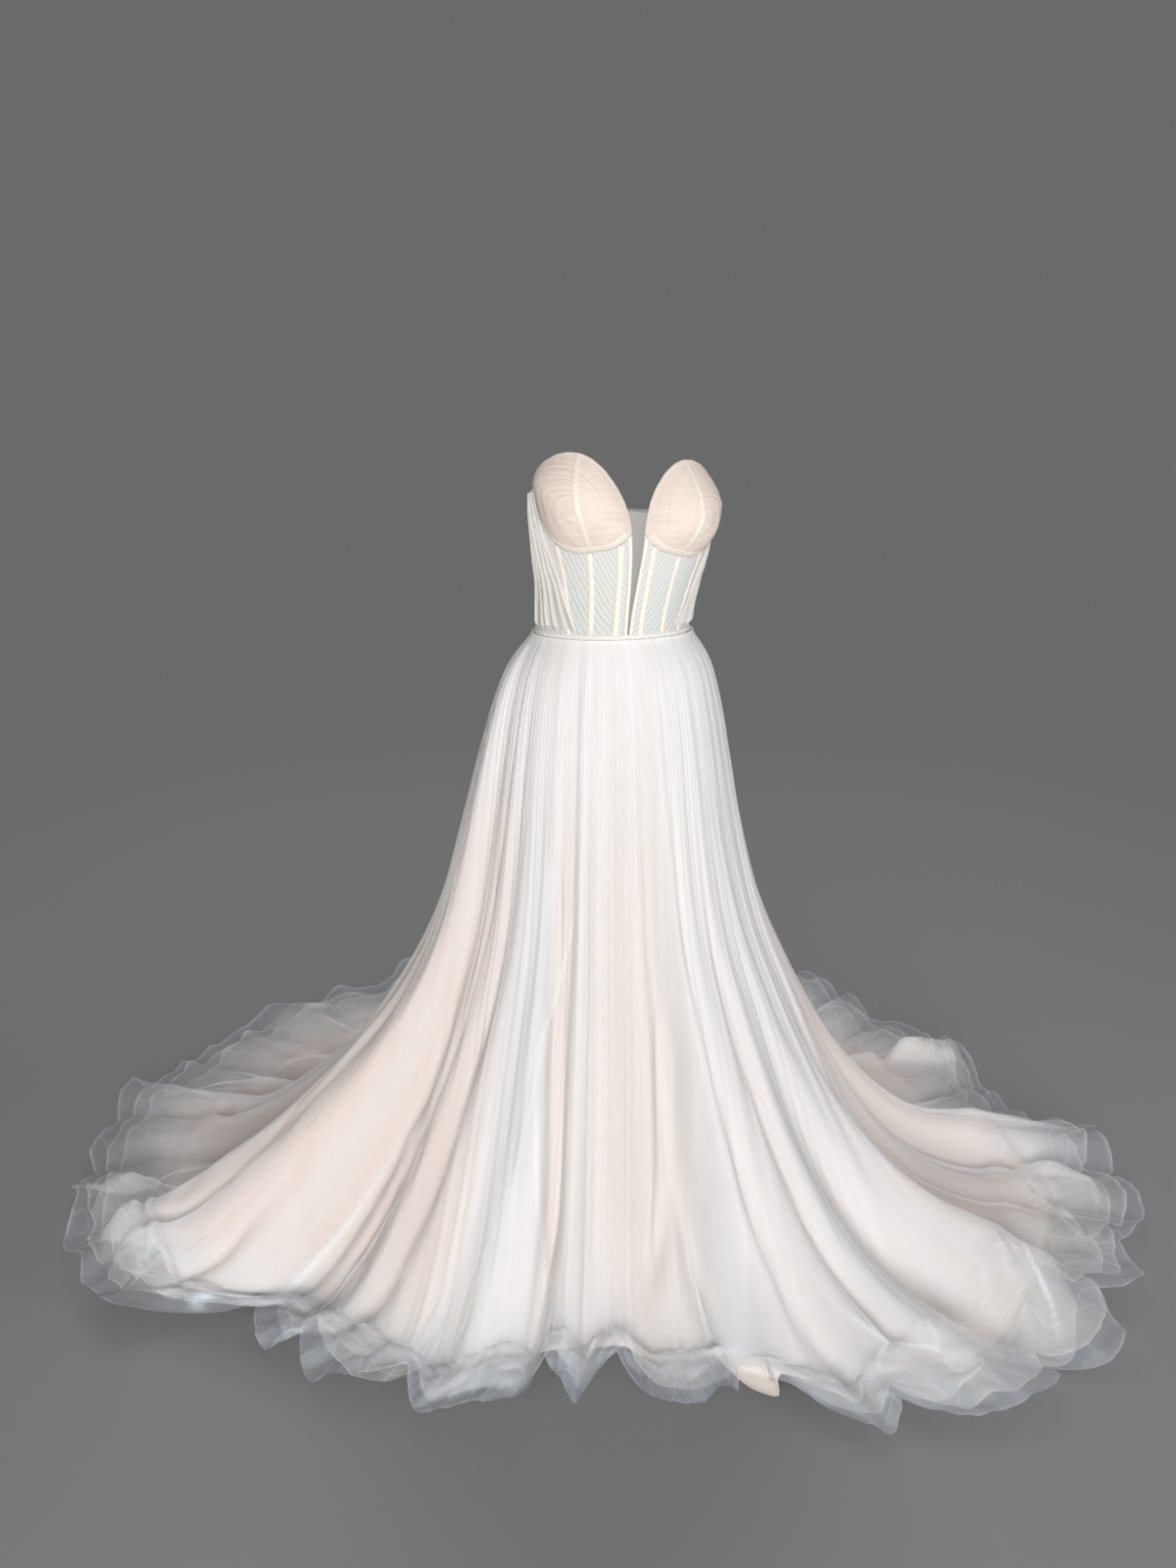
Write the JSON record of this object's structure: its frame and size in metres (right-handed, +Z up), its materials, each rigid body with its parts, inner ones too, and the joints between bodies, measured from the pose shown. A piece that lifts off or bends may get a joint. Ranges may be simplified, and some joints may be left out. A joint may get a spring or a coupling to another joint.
{
  "type": "wedding gown",
  "caption": "Strapless A-line gown with moulded cups, plunging boned bodice, gathered net skirt over satin and a round train",
  "frame": {"origin": "middle of the waist seam, on the axis of the worn waist", "axes": "+Z up, -Y the front, +X the wearer's left; the train runs back along +Y"},
  "size_m": [1.9198, 2.1503, 1.3873],
  "materials": {
    "cup": "blush satin over foam, covered in fine gathered net",
    "tape": "cream tape, matt",
    "bodice_net": "pleated net, matt",
    "sheer_net": "fine sheer net, matt",
    "ivory_net": "soft ivory tulle, matt",
    "satin": "blush satin, soft sheen"
  },
  "bodies": {
    "root": {"cup_left": "cup", "cup_right": "cup", "cup_seam_tape_left": "tape", "cup_seam_tape_right": "tape", "underwire_channel_left": "tape", "underwire_channel_right": "tape", "front_panel_left": "bodice_net", "front_panel_right": "bodice_net", "side_panel_left": "bodice_net", "side_panel_right": "bodice_net", "back_panel_left": "bodice_net", "back_panel_right": "bodice_net", "side_drape_left": "bodice_net", "side_drape_right": "bodice_net", "bone_edge_left": "tape", "bone_edge_right": "tape", "bone_inner_left": "tape", "bone_inner_right": "tape", "bone_middle_left": "tape", "bone_middle_right": "tape", "bone_outer_left": "tape", "bone_outer_right": "tape", "plunge_inset": "sheer_net", "waist_tape": "ivory_net", "lining_front_right": "satin", "lining_front_centre": "satin", "lining_front_left": "satin", "lining_side_left": "satin", "lining_back_left": "satin", "lining_back_right": "satin", "lining_side_right": "satin", "net_front_right": "ivory_net", "net_front_centre": "ivory_net", "net_front_left": "ivory_net", "net_side_left": "ivory_net", "net_back_left": "ivory_net", "net_back_right": "ivory_net", "net_side_right": "ivory_net"}
  },
  "joints": []
}
